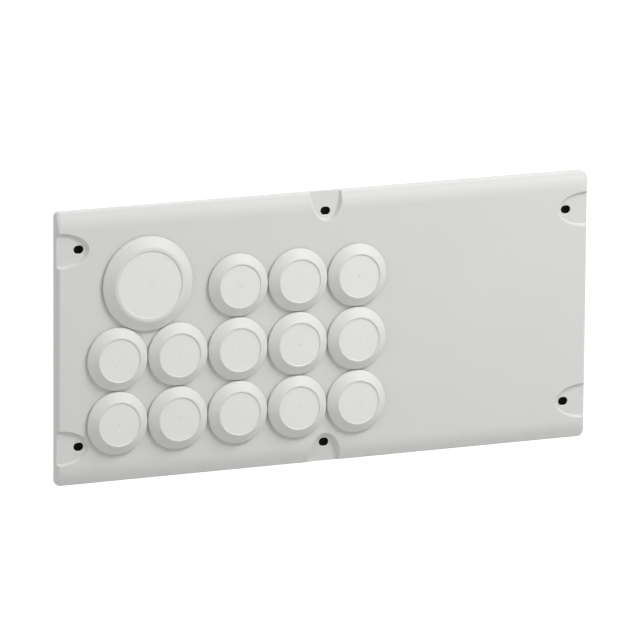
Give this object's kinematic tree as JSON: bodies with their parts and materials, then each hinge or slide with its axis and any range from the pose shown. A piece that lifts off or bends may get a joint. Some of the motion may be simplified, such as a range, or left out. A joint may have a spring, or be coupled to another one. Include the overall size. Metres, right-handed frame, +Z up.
{
  "type": "cable entry plate",
  "caption": "Flat moulded plate that closes an enclosure opening, with round membrane grommets that cables push through, screw recesses along its edges and a seal behind.",
  "frame": {"origin": "middle of the part's bounding box, on the plate's centre lines", "axes": "+X along the plate's length, to the right seen from the front; +Z up; the front faces -Y and the sealing side faces +Y"},
  "size_m": [0.3756, 0.0146, 0.179],
  "materials": {
    "plate": "satin",
    "membrane": "matte",
    "seal": "matte"
  },
  "bodies": {
    "root": {"entry_plate": "plate", "sealing_gasket": "seal", "grommet_large": "membrane", "grommet_small_row1_col3": "membrane", "grommet_small_row1_col4": "membrane", "grommet_small_row1_col5": "membrane", "grommet_small_row2_col1": "membrane", "grommet_small_row2_col2": "membrane", "grommet_small_row2_col3": "membrane", "grommet_small_row2_col4": "membrane", "grommet_small_row2_col5": "membrane", "grommet_small_row3_col1": "membrane", "grommet_small_row3_col2": "membrane", "grommet_small_row3_col3": "membrane", "grommet_small_row3_col4": "membrane", "grommet_small_row3_col5": "membrane"}
  },
  "joints": []
}
